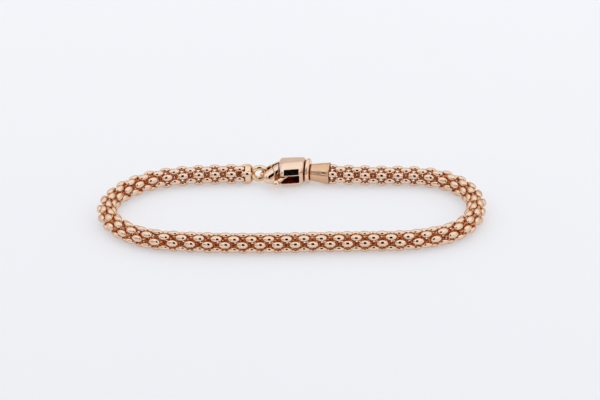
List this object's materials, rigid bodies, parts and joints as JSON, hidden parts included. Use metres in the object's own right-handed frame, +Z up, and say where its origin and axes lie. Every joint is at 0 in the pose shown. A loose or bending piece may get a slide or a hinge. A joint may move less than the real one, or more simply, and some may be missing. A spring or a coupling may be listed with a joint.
{
  "type": "gold bracelet",
  "caption": "Round flexible mesh bracelet of interlocked beaded gold links, lying flat as an oval and closed at the back by a lobster clasp with a sprung lever.",
  "frame": {"origin": "middle of the oval's bounding box, on the surface that the bracelet lies on", "axes": "+X along the oval's length, to the right in the picture; +Y across it, away from the picture's viewer, to the side with the clasp; +Z up"},
  "size_m": [0.0785, 0.0328, 0.0054],
  "materials": {
    "mesh_gold": "polished",
    "cap_gold": "satin",
    "clasp_gold": "polished"
  },
  "bodies": {
    "bracelet": {"mesh_left": "mesh_gold", "mesh_right": "mesh_gold", "ring_end_cap": "mesh_gold", "clasp_end_cap": "cap_gold", "collar_disc": "clasp_gold", "clasp_body": "clasp_gold", "lever_pin": "clasp_gold"},
    "lever": {"clasp_lever": "clasp_gold"}
  },
  "joints": [
    {"name": "lever_hinge", "type": "hinge", "parent": "bracelet", "child": "lever", "pos_m": [0.00073, 0.01322, 0.00268], "axis": [0, 0, -1], "range_deg": [0, 12], "stiffness_Nm_per_rad": 0.002, "springref_deg": -11.46}
  ]
}
